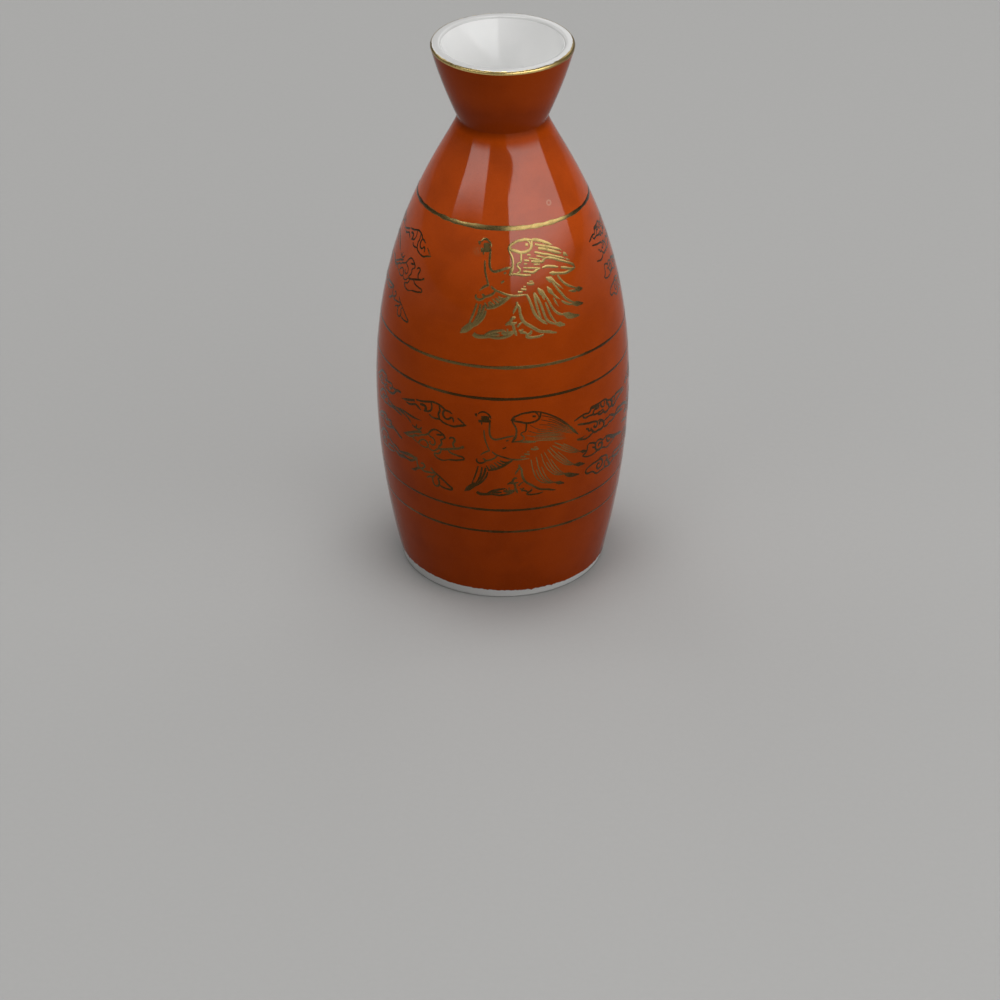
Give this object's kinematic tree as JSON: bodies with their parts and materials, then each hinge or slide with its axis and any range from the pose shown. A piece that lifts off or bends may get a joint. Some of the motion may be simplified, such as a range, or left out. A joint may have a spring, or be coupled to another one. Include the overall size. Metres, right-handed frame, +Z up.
{
  "type": "sake bottle",
  "caption": "Turned porcelain sake bottle with a round belly, pinched neck and flared mouth, red enamel outside and gold crane and cloud ornament; holds and pours warm sake.",
  "frame": {"origin": "centre of the foot ring's resting plane", "axes": "+Z up along the bottle's axis; the first crane of each band is on the -Y side, the front"},
  "size_m": [0.0642, 0.0642, 0.1404],
  "materials": {
    "porcelain": "white porcelain, smooth, bare at the foot ring",
    "glaze": "clear gloss glaze on white porcelain",
    "enamel": "orange-red enamel, glossy, with a faint speckle",
    "gold": "fired gold lustre, soft metallic gloss, slightly worn"
  },
  "bodies": {
    "root": {"enamel_coat": "enamel", "glaze_lining": "glaze", "gold_clouds_lower_left_back": "gold", "gold_clouds_lower_left_front": "gold", "gold_clouds_lower_middle_back": "gold", "gold_clouds_lower_middle_front": "gold", "gold_clouds_lower_outer_back": "gold", "gold_clouds_lower_outer_front": "gold", "gold_clouds_lower_right_back": "gold", "gold_clouds_lower_right_front": "gold", "gold_clouds_upper_left_back": "gold", "gold_clouds_upper_left_front": "gold", "gold_clouds_upper_right_back": "gold", "gold_clouds_upper_right_front": "gold", "gold_crane_cloud_lower_back": "gold", "gold_crane_cloud_lower_front": "gold", "gold_crane_cloud_upper_back": "gold", "gold_crane_cloud_upper_front": "gold", "gold_crane_lower_back": "gold", "gold_crane_lower_front": "gold", "gold_crane_upper_back": "gold", "gold_crane_upper_front": "gold", "gold_lower_base_line": "gold", "gold_lower_waist_line": "gold", "gold_rim_band": "gold", "gold_shoulder_line": "gold", "gold_upper_base_line": "gold", "gold_upper_waist_line": "gold", "porcelain_body": "porcelain", "porcelain_mouth": "porcelain"}
  },
  "joints": []
}
